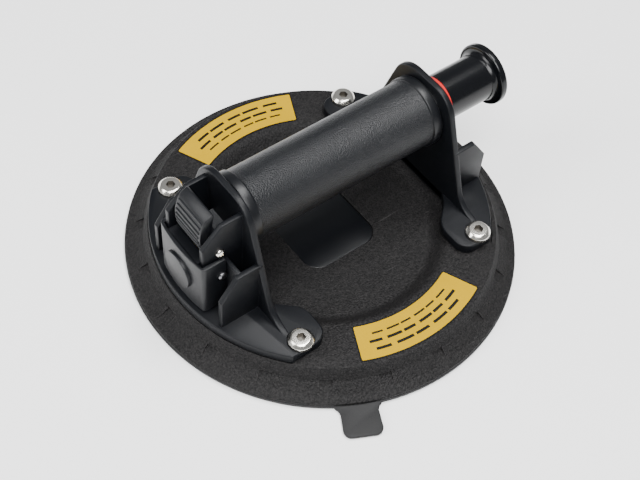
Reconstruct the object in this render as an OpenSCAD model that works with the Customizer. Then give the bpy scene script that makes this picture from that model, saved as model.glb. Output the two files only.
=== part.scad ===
// Hand-pumped vacuum suction cup, 200 mm, with a vent lever at one end of the grip.
// Origin: centre of the pad's sealing face. X runs along the grip, towards the plunger.
// Millimetres, +Z up.

/* [Base] */
// Diameter of the rubber pad and of the whole disc
disc_d = 200; // [198:1:204]
// Height of the raised ring that carries the brackets and the labels
ring_top = 16.8; // [16.5:0.1:17.5]
// Radius where the raised ring ends and the rim wall starts
ring_r = 87.7; // [87:0.1:88.5]
// Radius of the dished middle
dish_r = 54; // [50:1:56]
// Height of the dished middle
dish_top = 9.4; // [9:0.1:10]
// Number of notches round the rim
notch_count = 20; // [12:1:24]
// Direction of the pad's pull tab, in degrees from +X
tab_angle = 242.9; // [230:0.1:255]

/* [Handle] */
// Height of the grip's axis above the sealing face
grip_z = 62.9; // [61:0.1:66]
// Outer diameter of the grip
grip_d = 34.8; // [34:0.1:35]
// Distance between the inner faces of the two brackets
bracket_gap = 113.2; // [113:0.1:114]
// Thickness of a bracket's upright plate
plate_t = 3.4; // [3.4:0.1:4]
// Height of the upright plates
plate_top = 83.7; // [83:0.1:87]
// Distance from the centre lines to each mounting screw
screw_offset = 54.8; // [54:0.1:55.5]

/* [Pump] */
// Diameter of the plunger's tube
plunger_d = 24.3; // [24:0.1:24.3]
// Travel of the plunger from fully out to fully in
plunger_stroke = 33; // [20:1:33]
// Distance from the centre to the knob's outer face, plunger fully out
knob_face = 100.4; // [100:0.1:104]
// Turns of the plunger's return spring
spring_turns = 11; // [8:1:14]

/* [Release] */
// Height of the lever's pivot screw
pivot_z = 60; // [59.5:0.1:60.5]
// Distance from the centre to the pivot screw
pivot_x = 72.3; // [72:0.1:72.6]
// Height of the link pin and of the vent valve
link_z = 46.5; // [46:0.1:47]
// Width of the ribbed thumb paddle
paddle_w = 20.2; // [18:0.1:21]

/* [Hidden] */
$fn = 96;
fit = 0.05;

disc_r = disc_d / 2;
grip_r = grip_d / 2;
plate_in = bracket_gap / 2;
plate_out = plate_in + plate_t;

// Pad and base
lip_t = 2.1;
pad_top = 5.5;
membrane_t = 2.5;
lip_in = 85;
rim_r = disc_r - 0.4;
rim_top = 3.9;
slope_in = 90.3;
slope_in_z = 9.6;
slope_out = 95.6;
slope_out_z = 5;
wall = 3.6;
groove_in = 64;
notch_w = 6.6;
notch_depth = 1.1;
badge_side = 42;
badge_r = 9;
badge_t = 1.2;
badge_sink = 0.5;
port_x = 64.2;
port_r = 2;
filter_r = 5;
tab_reach = 115.9;
tab_root_w = 18.2;
tab_tip_w = 18.9;

// Labels
label_in = 66;
label_out = 86;
label_half_angle = 25.3;
label_t = 0.25;

// Brackets
foot_top = 22.5;
foot_end = 60;
foot_in = 42;
release_foot_r = 87;
plunger_foot_r = 84.3;
top_half = 17.28;
flank_slope = 0.349;
top_corner_r = 15;
flare_r = 16;
gusset_in = 25.2;
gusset_t = 3;
gusset_top = 54;
gusset_knee_z = 41;
ear_in = 12.3;
ear_t = 2.7;
ear_top = 78;
ear_knee_x = 71;
ear_front_x = 81.5;
ear_knee_z = 67;
web_x = 68;
web_t = 2.3;

// Fasteners
screw_head_r = 6.25;
screw_head_t = 3.2;
screw_r = 3;
socket_af = 4.2;
insert_r = 4.2;
insert_bottom = 7.5;

// Pump
barrel_r = 15.2;
bore_r = 13.4;
seat_depth = 1.5;
barrel_end = plate_in + seat_depth;
cap_t = 8;
bush_t = 8;
grip_end = 55.4;
collar_w = 5;
collar_r = grip_r + 0.9;
plunger_r = plunger_d / 2;
plunger_bore = 10.2;
knob_r = 16.2;
knob_t = 4;
knob_in = knob_face - knob_t;
band_x = 64.5;
band_w = 3;
band_t = 0.4;
piston_face = 34;
piston_t = 12;
coil_r = 9.5;
coil_wire = 0.8;

// Vent valve
block_front = 66.5;
block_half = 9;
block_top = 58;
block_foot_front = 68.5;
block_foot_top = 21;
duct_r = 2;
port_seal_r = 2.9;
port_seal_wire = 0.58;
cross_port_z = 54.5;
seat_r = 3.4;
stem_r = 2;
poppet_r = 5.5;
link_x = 73;
link_r = 1.5;

// Lever
pivot_r = 2;
hub_r = 4.5;
arm_in = 4;
arm_t = 3.6;
shroud_half = 17.7;
shroud_wall = 2.3;
shroud_r = 84.9;
shroud_inner_r = 83.3;
shroud_inner_front = 82.5;
shroud_bottom = 24.3;
shroud_top = 57;
shroud_rear = 70.8;
shelf_rear = 77.2;
shelf_t = 2.4;
button_z = 41;
button_r = 9.6;
button_h = 1.4;

// Points of an arc, from angle a0 to a1
function arc(cx, cy, r, a0, a1, n = 8) =
    [for (i = [0:n]) let (a = a0 + (a1 - a0) * i / n) [cx + r * cos(a), cy + r * sin(a)]];

function unit(v) = v / norm(v);

// Puts a shape drawn along +Z onto the grip's axis, so that its z becomes x
module on_grip_axis() {
    translate([0, 0, grip_z]) rotate([0, 90, 0]) children();
}

// A ring on the grip's axis between two x stations
module sleeve(x0, x1, r_out, r_in) {
    on_grip_axis() translate([0, 0, x0]) difference() {
        cylinder(h = x1 - x0, r = r_out);
        translate([0, 0, -1]) cylinder(h = x1 - x0 + 2, r = r_in);
    }
}

// A pin along Y from y0 to y1
module y_pin(x, z, r, y0, y1) {
    translate([x, y1, z]) rotate([90, 0, 0]) cylinder(h = y1 - y0, r = r, $fn = 48);
}

// A pin along X from x0 to x1
module x_pin(x0, x1, z, r) {
    translate([x0, 0, z]) rotate([0, 90, 0]) cylinder(h = x1 - x0, r = r, $fn = 48);
}

// A flat shape drawn in X and Z, given a thickness along Y from y0
module xz_slab(y0, t) {
    translate([0, y0 + t, 0]) rotate([90, 0, 0]) linear_extrude(t) children();
}

// Both sides of the XZ plane
module both_sides() {
    children();
    mirror([0, 1, 0]) children();
}

module rounded_square(side, r) {
    polygon(concat(
        arc(side / 2 - r, side / 2 - r, r, 0, 90),
        arc(-side / 2 + r, side / 2 - r, r, 90, 180),
        arc(-side / 2 + r, -side / 2 + r, r, 180, 270),
        arc(side / 2 - r, -side / 2 + r, r, 270, 360)));
}

// Repeats a shape at the four mounting screws
module at_screws() {
    for (sx = [-1, 1], sy = [-1, 1]) translate([sx * screw_offset, sy * screw_offset, 0]) children();
}

// Round wire swept along a path; side is a direction square to the path
module wire(path, r, side, sides = 8) {
    last = len(path) - 1;
    rings = [for (i = [0:last])
        let (t = unit(path[min(i + 1, last)] - path[max(i - 1, 0)]),
             n = unit(cross(t, side)), b = cross(t, n))
        for (k = [0:sides - 1]) path[i] + r * (n * cos(360 * k / sides) + b * sin(360 * k / sides))];
    skin = [for (i = [0:last - 1], k = [0:sides - 1])
        let (m = (k + 1) % sides)
        [i * sides + k, i * sides + m, (i + 1) * sides + m, (i + 1) * sides + k]];
    start = [for (k = [0:sides - 1]) sides - 1 - k];
    finish = [for (k = [0:sides - 1]) last * sides + k];
    polyhedron(rings, concat(skin, [start, finish]), convexity = 8);
}

// ---------- Base ----------

module notches() {
    mid_r = (slope_in + slope_out) / 2;
    drop = slope_in_z - slope_out_z;
    run = slope_out - slope_in;
    for (i = [0:notch_count - 1]) rotate([0, 0, 90 + i * 360 / notch_count])
        translate([mid_r, 0, (slope_in_z + slope_out_z) / 2]) rotate([0, atan2(drop, run), 0])
            translate([-norm([drop, run]) / 2, -notch_w / 2, -notch_depth])
                cube([norm([drop, run]), notch_w, 3]);
}

module base_plate() color([0.16, 0.17, 0.18]) difference() {
    union() {
        rotate_extrude($fn = 180) polygon([
            [0, pad_top], [0, dish_top], [dish_r, dish_top], [dish_r + 4, dish_top + 2],
            [groove_in - 3, ring_top - 1.6], [groove_in + 0.5, ring_top], [ring_r, ring_top],
            [slope_in, slope_in_z], [slope_out, slope_out_z], [rim_r, rim_top], [rim_r, lip_t],
            [lip_in + 2, lip_t], [lip_in + 2, slope_in_z - wall], [ring_r - wall, ring_top - wall],
            [groove_in + 2, ring_top - wall], [dish_r + 5, pad_top]]);
        at_screws() translate([0, 0, pad_top]) cylinder(h = ring_top - pad_top - 1, r = 6.5);
    }
    notches();
    translate([0, 0, dish_top - badge_t - badge_sink])
        linear_extrude(10) rounded_square(badge_side + 0.2, badge_r);
    at_screws() translate([0, 0, insert_bottom - 0.5]) cylinder(h = 20, r = insert_r + fit);
    translate([-port_x, 0, 0]) cylinder(h = 30, r = port_r);
}

module tab_outline() {
    w = tab_root_w / 2;
    tab_root = [[disc_r - 3, w + 3.5], [disc_r, w + 2], [disc_r + 1.5, w + 0.7], [disc_r + 3.5, w]];
    polygon(concat(
        [for (p = tab_root) [p[0], -p[1]]],
        arc(tab_reach - 4, -tab_tip_w / 2 + 4, 4, -90, 0),
        arc(tab_reach - 4, tab_tip_w / 2 - 4, 4, 0, 90),
        [for (i = [len(tab_root) - 1:-1:0]) tab_root[i]]));
}

module rubber_pad() color([0.12, 0.12, 0.13]) difference() {
    union() {
        rotate_extrude($fn = 180) polygon([
            [0, pad_top - membrane_t], [0, pad_top], [lip_in + 1.8, pad_top], [lip_in + 1.8, lip_t],
            [disc_r, lip_t], [disc_r, 0.6], [disc_r - 0.6, 0], [lip_in, 0],
            [lip_in - 1, pad_top - membrane_t]]);
        rotate([0, 0, tab_angle]) linear_extrude(lip_t) tab_outline();
    }
    translate([-port_x, 0, 0]) cylinder(h = 20, r = filter_r + fit);
}

module badge_plate() color([0.2, 0.21, 0.22])
    translate([0, 0, dish_top - badge_t - badge_sink])
        linear_extrude(badge_t) rounded_square(badge_side, badge_r);

module label_outline() {
    r = 1.5;
    a_out = asin(r / (label_out - r));
    a_in = asin(r / (label_in + r));
    h = label_half_angle;
    corner = function (radius, inset, side)
        [radius * cos(90 + side * (h - inset)), radius * sin(90 + side * (h - inset))];
    outer_left = corner(label_out - r, a_out, 1);
    outer_right = corner(label_out - r, a_out, -1);
    inner_left = corner(label_in + r, a_in, 1);
    inner_right = corner(label_in + r, a_in, -1);
    polygon(concat(
        arc(0, 0, label_out, 90 - h + a_out, 90 + h - a_out, 24),
        arc(outer_left[0], outer_left[1], r, 90 + h, 180 + h, 6),
        arc(inner_left[0], inner_left[1], r, 180 + h, 270 + h, 6),
        arc(0, 0, label_in, 90 + h - a_in, 90 - h + a_in, 20),
        arc(inner_right[0], inner_right[1], r, 270 - h, 360 - h, 6),
        arc(outer_right[0], outer_right[1], r, -h, 90 - h, 6)));
}

module load_label() color([0.95, 0.83, 0.1])
    translate([0, 0, ring_top]) linear_extrude(label_t) label_outline();

module pressure_label() color([0.95, 0.83, 0.1])
    rotate([0, 0, 180]) translate([0, 0, ring_top]) linear_extrude(label_t) label_outline();

module inlet_filter() color([0.75, 0.75, 0.72])
    translate([-port_x, 0, pad_top - membrane_t]) cylinder(h = membrane_t - 0.1, r = filter_r);

module threaded_inserts() color([0.72, 0.57, 0.3])
    at_screws() translate([0, 0, insert_bottom]) difference() {
        cylinder(h = ring_top - insert_bottom, r = insert_r);
        translate([0, 0, -1]) cylinder(h = 20, r = screw_r);
    }

module mounting_screws() color([0.82, 0.82, 0.84])
    at_screws() difference() {
        union() {
            translate([0, 0, foot_top]) rotate_extrude() polygon([
                [0, 0], [screw_head_r - 0.3, 0], [screw_head_r, 0.4], [screw_head_r, 1.4],
                [screw_head_r - 1.2, screw_head_t - 0.3], [screw_head_r - 1.9, screw_head_t],
                [0, screw_head_t]]);
            translate([0, 0, insert_bottom + 0.5])
                cylinder(h = foot_top - insert_bottom, r = screw_r - fit);
        }
        translate([0, 0, foot_top + 1]) cylinder(h = 5, d = socket_af / cos(30), $fn = 6);
    }

// ---------- Brackets ----------

// Half-width of the upright at a height on its straight flank
function flank(z) = top_half + flank_slope * (plate_top - z);

// The upright's outline, drawn with x as width and y as height
module upright_outline() {
    lean = atan(flank_slope);
    run = flare_r * tan((90 - lean) / 2);
    flare_y = flank(foot_top) + run;
    corner_run = top_corner_r * tan((90 - lean) / 2);
    half = concat(
        arc(top_half - corner_run, plate_top - top_corner_r, top_corner_r, 90, lean, 8),
        arc(flare_y, foot_top + flare_r, flare_r, 180 + lean, 270, 10),
        [[flare_y, ring_top]]);
    polygon(concat(half, [for (i = [len(half) - 1:-1:0]) [-half[i][0], half[i][1]]]));
}

module upright() {
    translate([plate_in, 0, 0]) rotate([90, 0, 90]) linear_extrude(plate_t) upright_outline();
}

module foot_outline(outer_r) {
    intersection() {
        circle(r = outer_r, $fn = 180);
        both_sides() polygon(concat(
            [[plate_in, 0], [plate_in, -26], [53, -31]],
            arc(foot_in + 12, -46, 12, 135, 180, 5),
            arc(foot_in + 7.5, -foot_end + 7.5, 7.5, 180, 270, 8),
            [[90, -foot_end], [90, 0]]));
    }
}

module gusset(outer_x) {
    both_sides() xz_slab(gusset_in, gusset_t) polygon([
        [plate_in + 1, foot_top - 1], [plate_in + 1, gusset_top], [outer_x - 9, gusset_top],
        [outer_x, gusset_knee_z], [outer_x, foot_top - 1]]);
}

// Upright, foot and gussets shared by both brackets, built on the +X side
module bracket_body(outer_r, gusset_x) {
    difference() {
        union() {
            upright();
            translate([0, 0, ring_top]) linear_extrude(foot_top - ring_top) foot_outline(outer_r);
            gusset(gusset_x);
        }
        both_sides() translate([screw_offset, screw_offset, 0]) {
            cylinder(h = 40, r = screw_r + 0.3);
            translate([0, 0, foot_top]) cylinder(h = 12, r = screw_head_r + 0.25);
        }
        on_grip_axis() translate([0, 0, plate_in - 1]) cylinder(h = seat_depth + 1, r = barrel_r + fit);
    }
}

module plunger_bracket() color([0.13, 0.14, 0.15]) difference() {
    bracket_body(plunger_foot_r, 79.2);
    on_grip_axis() translate([0, 0, plate_in - 1]) cylinder(h = plate_t + 2, r = plunger_r + 0.45);
}

module ear_outline() {
    root = -plate_out + 1;
    polygon([
        [root, foot_top - 1], [root, ear_top], [-ear_knee_x, ear_top],
        [-ear_front_x, ear_knee_z], [-ear_front_x, foot_top - 1]]);
}

module release_bracket() color([0.13, 0.14, 0.15]) difference() {
    union() {
        mirror([1, 0, 0]) bracket_body(release_foot_r, 80.5);
        both_sides() xz_slab(ear_in, ear_t) ear_outline();
        both_sides() translate([-web_x - web_t, ear_in + 1, foot_top - 1])
            cube([web_t, gusset_in - ear_in, gusset_top - foot_top + 1]);
    }
    y_pin(-pivot_x, pivot_z, pivot_r + fit, -20, 20);
    translate([-link_x - 5.5, -20, link_z - 3]) cube([8, 40, 6]);
    translate([-block_foot_front - 0.3, -block_half - 0.3, 0])
        cube([block_foot_front + 0.3 - plate_out, 2 * block_half + 0.6, 40]);
    x_pin(-plate_out - 1, -plate_in, cross_port_z, duct_r);
}

// ---------- Pump ----------

module grip_tube() color([0.11, 0.12, 0.13])
    on_grip_axis() rotate_extrude() polygon([
        [barrel_r + fit, -grip_end], [collar_r - 0.8, -grip_end], [collar_r, -grip_end + 0.8],
        [collar_r, -grip_end + collar_w - 0.8], [grip_r, -grip_end + collar_w],
        [grip_r, grip_end - collar_w], [collar_r, grip_end - collar_w + 0.8],
        [collar_r, grip_end - 0.8], [collar_r - 0.8, grip_end], [barrel_r + fit, grip_end]]);

module pump_barrel() color([0.6, 0.62, 0.64]) sleeve(-barrel_end, barrel_end, barrel_r, bore_r);

module barrel_end_cap() color([0.3, 0.31, 0.32]) difference() {
    on_grip_axis() translate([0, 0, -barrel_end]) rotate_extrude() polygon([
        [0, 0], [bore_r - fit, 0], [bore_r - fit, 3], [bore_r - 1.5, 3], [bore_r - 1.5, 5],
        [bore_r - fit, 5], [bore_r - fit, cap_t], [0, cap_t]]);
    x_pin(-barrel_end - 1, -barrel_end + 4, cross_port_z, duct_r);
    translate([-barrel_end + 4, 0, cross_port_z]) cylinder(h = grip_z - cross_port_z, r = duct_r, $fn = 48);
    x_pin(-barrel_end + 4, -barrel_end + cap_t + 1, grip_z, duct_r);
}

module cap_seal() color([0.1, 0.1, 0.1])
    on_grip_axis() translate([0, 0, -barrel_end + 4]) rotate_extrude()
        translate([bore_r - 0.8, 0]) circle(r = 0.7, $fn = 24);

module check_valve() color([0.75, 0.25, 0.15])
    on_grip_axis() translate([0, 0, -barrel_end + cap_t]) rotate_extrude() polygon([
        [0, -4], [1.1, -4], [1.1, 0], [5, 0], [5, 0.5], [3.4, 1.3], [0, 1.3]]);

module guide_bush() color([0.85, 0.85, 0.8])
    sleeve(barrel_end - bush_t, barrel_end, bore_r - fit, plunger_r + fit);

module plunger_tube() color([0.1, 0.1, 0.11]) difference() {
    sleeve(piston_face + piston_t, knob_in, plunger_r, plunger_bore);
    sleeve(band_x, band_x + band_w, plunger_r + 1, plunger_r - band_t);
}

module plunger_knob() color([0.1, 0.1, 0.11])
    on_grip_axis() rotate_extrude() polygon(concat(
        [[0, knob_in - 8], [plunger_bore - fit, knob_in - 8], [plunger_bore - fit, knob_in],
         [plunger_r + 1.2, knob_in]],
        arc(knob_r - 1.2, knob_in + 1.2, 1.2, -90, 0, 6),
        arc(knob_r - 1.2, knob_face - 1.2, 1.2, 0, 90, 6),
        [[0, knob_face]]));

module indicator_band() color([0.85, 0.08, 0.06])
    sleeve(band_x, band_x + band_w, plunger_r, plunger_r - band_t);

module piston() color([0.8, 0.8, 0.78])
    on_grip_axis() rotate_extrude() polygon([
        [0, piston_face], [bore_r - 0.08, piston_face], [bore_r - 0.08, piston_face + 3],
        [bore_r - 2.2, piston_face + 3], [bore_r - 2.2, piston_face + 6],
        [bore_r - 0.08, piston_face + 6], [bore_r - 0.08, piston_face + piston_t],
        [plunger_bore - fit, piston_face + piston_t], [plunger_bore - fit, piston_face + piston_t + 8],
        [0, piston_face + piston_t + 8]]);

module piston_seal() color([0.1, 0.1, 0.1])
    on_grip_axis() rotate_extrude() polygon([
        [bore_r - 2.1, piston_face + 3.1], [bore_r - 0.05, piston_face + 3.1],
        [bore_r - 0.05, piston_face + 5.9], [bore_r - 2.1, piston_face + 5.9]]);

module plunger_spring() color([0.7, 0.7, 0.72]) {
    steps = 20;
    x0 = -barrel_end + cap_t + coil_wire + 0.1;
    x1 = piston_face - coil_wire - 0.1;
    path = [for (i = [0:spring_turns * steps])
        let (a = 360 * i / steps, s = i / (spring_turns * steps))
        [x0 + (x1 - x0) * s, coil_r * cos(a), grip_z + coil_r * sin(a)]];
    wire(path, coil_wire, [1, 0, 0]);
}

// ---------- Vent valve ----------

module valve_block() color([0.25, 0.26, 0.27]) difference() {
    union() {
        translate([-block_front, -block_half, ring_top])
            cube([block_front - plate_out, 2 * block_half, block_top - ring_top]);
        translate([-block_foot_front, -block_half, ring_top])
            cube([block_foot_front - plate_out, 2 * block_half, block_foot_top - ring_top]);
    }
    translate([-port_x, 0, ring_top - 1])
        cylinder(h = cross_port_z - ring_top + 1, r = duct_r, $fn = 48);
    translate([-port_x, 0, ring_top - 1])
        cylinder(h = 2.2, r = port_seal_r + port_seal_wire + 0.1, $fn = 48);
    x_pin(-port_x, -plate_out + 1, cross_port_z, duct_r);
    x_pin(-block_front - 1, -port_x, link_z, seat_r);
    x_pin(-port_x, -plate_out - 1, link_z, stem_r + fit);
}

module port_seal() color([0.1, 0.1, 0.1])
    translate([-port_x, 0, ring_top + 0.6]) rotate_extrude($fn = 48)
        translate([port_seal_r, 0]) circle(r = port_seal_wire, $fn = 24);

module vent_poppet() color([0.72, 0.57, 0.3]) difference() {
    union() {
        x_pin(-block_front - 1.2, -plate_out - 1.3, link_z, stem_r);
        x_pin(-block_front - 2.8, -block_front - 1.2, link_z, poppet_r);
        translate([-link_x - 3.5, -3, link_z - 3.6])
            cube([link_x + 3.5 - block_front - 2.8, 6, 7.2]);
    }
    translate([-link_x, 4, link_z]) rotate([90, 0, 0]) linear_extrude(8)
        square([2 * link_r + 0.2, 2 * link_r + 1.4], center = true);
}

module vent_seal() color([0.1, 0.1, 0.1]) difference() {
    x_pin(-block_front - 1.15, -block_front - 0.1, link_z, poppet_r);
    x_pin(-block_front - 2, -block_front + 1, link_z, stem_r + 0.1);
}

// ---------- Lever ----------

module paddle_outline() {
    face = arc(-56.2, 68.4, 23.3, 150, 206, 8);
    polygon(concat(
        [[-71.6, 81.5], [-72.8, 82.2]], face,
        [[-76.4, 58.2], [-pivot_x - hub_r + 0.4, pivot_z - 1], [-pivot_x, pivot_z],
         [-pivot_x + 0.5, pivot_z + hub_r - 0.6], [-73.4, 66], [-72.6, 74]]));
}

module thumb_paddle() color([0.14, 0.15, 0.16]) difference() {
    union() {
        xz_slab(-paddle_w / 2, paddle_w) paddle_outline();
        y_pin(-pivot_x, pivot_z, hub_r, -paddle_w / 2, paddle_w / 2);
        both_sides() xz_slab(arm_in, arm_t) polygon([
            [-pivot_x - 3.6, pivot_z], [-link_x - 2.9, link_z], [-link_x - 1.8, link_z - 2.6],
            [-link_x + 1.8, link_z - 2.6], [-link_x + 2.2, link_z], [-pivot_x + 2.4, pivot_z]]);
    }
    y_pin(-pivot_x, pivot_z, pivot_r + fit, -20, 20);
    y_pin(-link_x, link_z, link_r + fit, -20, 20);
    y_pin(-pivot_x, pivot_z, hub_r + 0.6, -arm_in + 0.2, arm_in - 0.2);
}

module shroud_plan(half, front_r, front_x, rear) {
    intersection() {
        circle(r = front_r, $fn = 180);
        translate([-front_x, -half]) square([front_x - rear, 2 * half]);
    }
}

// The raised round button on the shroud's front, rooted in its wall
module shroud_button() {
    translate([-shroud_r - button_h, 0, button_z]) rotate([0, 90, 0]) rotate_extrude($fn = 96)
        polygon([[0, 0], [button_r - 0.4, 0], [button_r, 0.4], [button_r, button_h + 1], [0, button_h + 1]]);
}

module lever_shroud() color([0.15, 0.16, 0.17]) {
    shroud_shell();
    shroud_button();
}

module shroud_shell() difference() {
    translate([0, 0, shroud_bottom]) linear_extrude(shroud_top - shroud_bottom)
        shroud_plan(shroud_half, shroud_r, shroud_r, shroud_rear);
    translate([0, 0, shroud_bottom - 1]) linear_extrude(shroud_top - shelf_t - shroud_bottom + 1)
        shroud_plan(shroud_half - shroud_wall, shroud_inner_r, shroud_inner_front, shroud_rear - 5);
    translate([-shelf_rear, -shroud_half + shroud_wall, shroud_top - 5])
        cube([20, 2 * (shroud_half - shroud_wall), 10]);
    both_sides() translate([-ear_front_x - 0.5, ear_in - 0.3, shroud_top - 5])
        cube([20, shroud_half - shroud_wall - ear_in + 0.3, 10]);
    y_pin(-link_x, link_z, link_r + fit, -20, 20);
}

module link_pin() color([0.35, 0.35, 0.37]) {
    y_pin(-link_x, link_z, link_r, -shroud_half, shroud_half);
    translate([-link_x, -shroud_half, link_z]) rotate([90, 0, 0]) rotate_extrude($fn = 48)
        polygon([[0, 0], [2.2, 0], [2.2, 0.7], [1.5, 1.5], [0, 1.5]]);
}

module pivot_screw() color([0.85, 0.85, 0.87]) {
    ear_out = ear_in + ear_t;
    y_pin(-pivot_x, pivot_z, pivot_r, -ear_out, ear_out);
    difference() {
        translate([-pivot_x, -ear_out, pivot_z]) rotate([90, 0, 0]) rotate_extrude($fn = 48)
            polygon([[0, 0], [2.35, 0], [2.35, 0.4], [1.9, 1.1], [1.1, 1.5], [0, 1.6]]);
        for (a = [0, 90]) translate([-pivot_x, -ear_out - 1.6, pivot_z]) rotate([0, a + 20, 0])
            cube([2.6, 1.4, 0.5], center = true);
    }
}

module lever_spring() color([0.7, 0.7, 0.72]) {
    turns = 4;
    steps = 14;
    r = 3.2;
    w = 0.45;
    half = arm_in - 1;
    coil = [for (i = [0:turns * steps])
        let (a = 360 * i / steps, s = i / (turns * steps))
        [-pivot_x + r * cos(a), -half + 2 * half * s, pivot_z + r * sin(a)]];
    up_leg = [for (i = [4:-1:1]) [-pivot_x + r, -half, pivot_z - 2 * i]];
    down_leg = [for (i = [1:4]) [-pivot_x + r, half, pivot_z + 2 * i]];
    wire(concat(up_leg, coil, down_leg), w, [0, 1, 0]);
}

base_plate();
rubber_pad();
badge_plate();
load_label();
pressure_label();
inlet_filter();
threaded_inserts();
release_bracket();
plunger_bracket();
mounting_screws();
grip_tube();
pump_barrel();
barrel_end_cap();
cap_seal();
check_valve();
guide_bush();
plunger_tube();
plunger_knob();
indicator_band();
piston();
piston_seal();
plunger_spring();
valve_block();
port_seal();
vent_poppet();
vent_seal();
thumb_paddle();
lever_shroud();
link_pin();
pivot_screw();
lever_spring();
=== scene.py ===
"""Looks of a hand-pumped vacuum suction cup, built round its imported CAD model."""

import math

import bpy
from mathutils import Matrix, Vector


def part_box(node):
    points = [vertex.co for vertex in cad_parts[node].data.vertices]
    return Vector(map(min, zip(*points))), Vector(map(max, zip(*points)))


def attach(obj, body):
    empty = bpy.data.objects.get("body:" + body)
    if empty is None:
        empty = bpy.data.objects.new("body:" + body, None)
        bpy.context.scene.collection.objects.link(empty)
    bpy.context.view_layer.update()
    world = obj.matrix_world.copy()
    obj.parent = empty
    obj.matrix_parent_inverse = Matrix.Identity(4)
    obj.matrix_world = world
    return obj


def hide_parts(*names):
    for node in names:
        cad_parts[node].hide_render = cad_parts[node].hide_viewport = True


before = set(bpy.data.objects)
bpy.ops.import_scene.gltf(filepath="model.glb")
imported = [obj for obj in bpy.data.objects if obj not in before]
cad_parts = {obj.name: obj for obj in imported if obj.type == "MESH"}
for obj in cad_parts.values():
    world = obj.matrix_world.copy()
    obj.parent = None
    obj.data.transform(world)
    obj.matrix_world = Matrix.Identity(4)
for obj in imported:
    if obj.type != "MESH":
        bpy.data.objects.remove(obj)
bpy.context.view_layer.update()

# ---------- Sizes, in millimetres in the row frame ----------
MM = 0.001


def box_mm(node):
    """Lowest and highest corner of a CAD node, in millimetres."""
    low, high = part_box(node)
    return low / MM, high / MM


base_low, base_high = box_mm("base_plate")
badge_low, badge_high = box_mm("badge_plate")
upright_high = box_mm("plunger_bracket")[1]
screws_high = box_mm("mounting_screws")[1]
grip_low, grip_high = box_mm("grip_tube")
knob_low, knob_high = box_mm("plunger_knob")
band_low, band_high = box_mm("indicator_band")
shroud_low, shroud_high = box_mm("lever_shroud")
paddle_high = box_mm("thumb_paddle")[1]

# Base and pad
RIM_R = base_high.x
RING_TOP = base_high.z
RIM_BOTTOM = base_low.z
RING_R = 87.7
WALL_FOOT = (90.3, 9.6)
SLOPE_FOOT = (95.6, 5.0)
RIM_TOP = 3.9
DISH_FLAT_R = 30.0
DISH_R = 54.0
DISH_TOP = 9.4
RING_INNER_R = 65.0
RING_UNDERSIDE = 13.2
RING_UNDER_IN = 66.0
RING_UNDER_OUT = 84.1
MIDDLE_UNDERSIDE = 5.5
MIDDLE_UNDER_R = 59.0
NOTCHES = 20
NOTCH_HALF_ANGLE = 2.0
NOTCH_DEPTH = 1.7
NOTCH_RISE = 1.7
NOTCH_FOOT_R = (94, 95.1)
NOTCH_FOOT_Z = (3, 5.1)
MOAT = 1.5
MOAT_DEPTH = 2.2
BADGE_SIDE = badge_high.x - badge_low.x
BADGE_CORNER = 9.0
# Just inside the faceted edge of the CAD pad
PAD_R = 99.94
LIP_T = 2.1
LIP_IN = 85.0
MEMBRANE_LOW = 3.0
MEMBRANE_HIGH = 5.5
TAB_ANGLE = 242.9
TAB_REACH = 115.9
TAB_HALF = 9.1
TAB_TIP_HALF = 9.45
TAB_CORNER = 4

# Labels
LABEL_IN = 66.0
LABEL_OUT = 86.0
LABEL_HALF_ANGLE = 25.3
LABEL_TOP = 17.05
LABEL_BORDER = 0.7
LABEL_CORNER = 1.5
# Each row of printed bars: radius, height, half angle and number of bars
LABEL_ROWS = [(80.6, 1.5, 19.0, 5), (76.2, 1.5, 20.5, 6), (72.0, 1.0, 18.5, 6)]

# Brackets
PLATE_IN = 56.6
PLATE_OUT = 60.0
PLATE_TOP = upright_high.z
FOOT_TOP = 22.5
FOOT_END = 60.0
FOOT_IN = 42.0
FOOT_CORNER = 7.5
FOOT_WAIST = 12
FOOT_WAIST_Y = 46
RELEASE_FOOT_R = 87.0
PLUNGER_FOOT_R = 84.3
TOP_HALF = 17.28
FLANK_SLOPE = 0.349
TOP_CORNER = 15.0
FLARE = 16.0
GUSSET_IN = 25.2
GUSSET_T = 3.0
GUSSET_TOP = 54.0
GUSSET_KNEE = 41.0
GUSSET_RUN = 9
RELEASE_GUSSET_X = 80.5
PLUNGER_GUSSET_X = 79.2
EAR_IN = 12.3
EAR_T = 2.7
EAR_TOP = 78.0
EAR_KNEE_X = 71.0
EAR_FRONT_X = 81.5
EAR_KNEE_Z = 67.0
# Clearance round the valve block: its far X, half width in Y, and top
BLOCK_GAP = (68.8, 9.3, 40)
WEB_X = 68.0
WEB_T = 2.3
SCREW_OFFSET = 54.8
SCREW_HEAD_R = 6.25
SCREW_TOP = screws_high.z
SCREW_SHANK_R = 2.95
SCREW_HOLE_R = 3.3
SEAT_SUNK = 0.4
SOCKET_ACROSS = 4.85

# Grip and plunger
GRIP_Z = (grip_low.z + grip_high.z) / 2
GRIP_END = grip_high.x
COLLAR_R = (grip_high.z - grip_low.z) / 2
COLLAR_STEP = 0.9
GRIP_R = COLLAR_R - COLLAR_STEP
COLLAR_W = 5.0
BARREL_R = 15.25
PLUNGER_R = 12.15
PLUNGER_BORE = 10.2
PLUNGER_START = 46.0
KNOB_R = (knob_high.z - knob_low.z) / 2
KNOB_FACE = knob_high.x
KNOB_T = 4.0
KNOB_NECK = 3.0
KNOB_RIM_W = 3.2
KNOB_HOLLOW = 0.5
BAND_X = band_low.x
BAND_W = band_high.x - band_low.x
BAND_T = 0.4

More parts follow.
